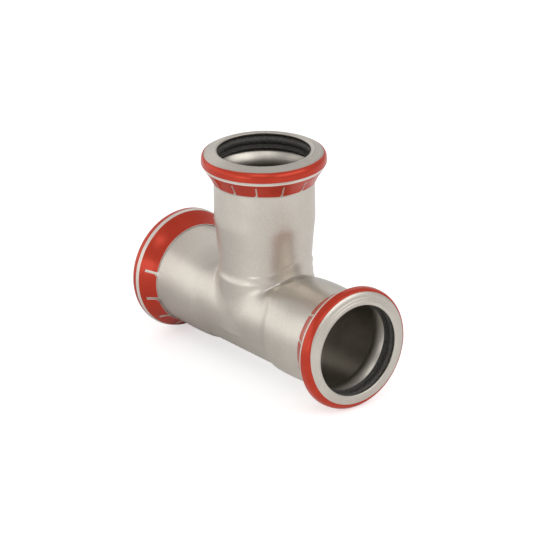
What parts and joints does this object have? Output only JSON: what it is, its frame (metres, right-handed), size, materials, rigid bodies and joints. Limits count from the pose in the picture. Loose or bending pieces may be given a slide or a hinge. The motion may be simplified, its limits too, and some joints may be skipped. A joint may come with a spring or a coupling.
{
  "type": "press tee",
  "caption": "Equal press tee: steel body with straight run and side branch, beaded press sockets with inner seal rings and red press-indicator foils.",
  "frame": {"origin": "on the floor under the crossing of the run's and the branch's axes, at the level of the lowest point of the run's beads", "axes": "+X along the run, from the left socket to the right one; +Z along the branch, out of its socket"},
  "size_m": [0.0898, 0.0384, 0.0711],
  "materials": {
    "steel": "satin",
    "seal_rubber": "matte",
    "indicator_foil": "gloss"
  },
  "bodies": {
    "root": {"tee_body": "steel", "seal_ring_left": "seal_rubber", "seal_ring_right": "seal_rubber", "seal_ring_branch": "seal_rubber", "press_indicator_left": "indicator_foil", "press_indicator_right": "indicator_foil", "press_indicator_branch": "indicator_foil"}
  },
  "joints": []
}
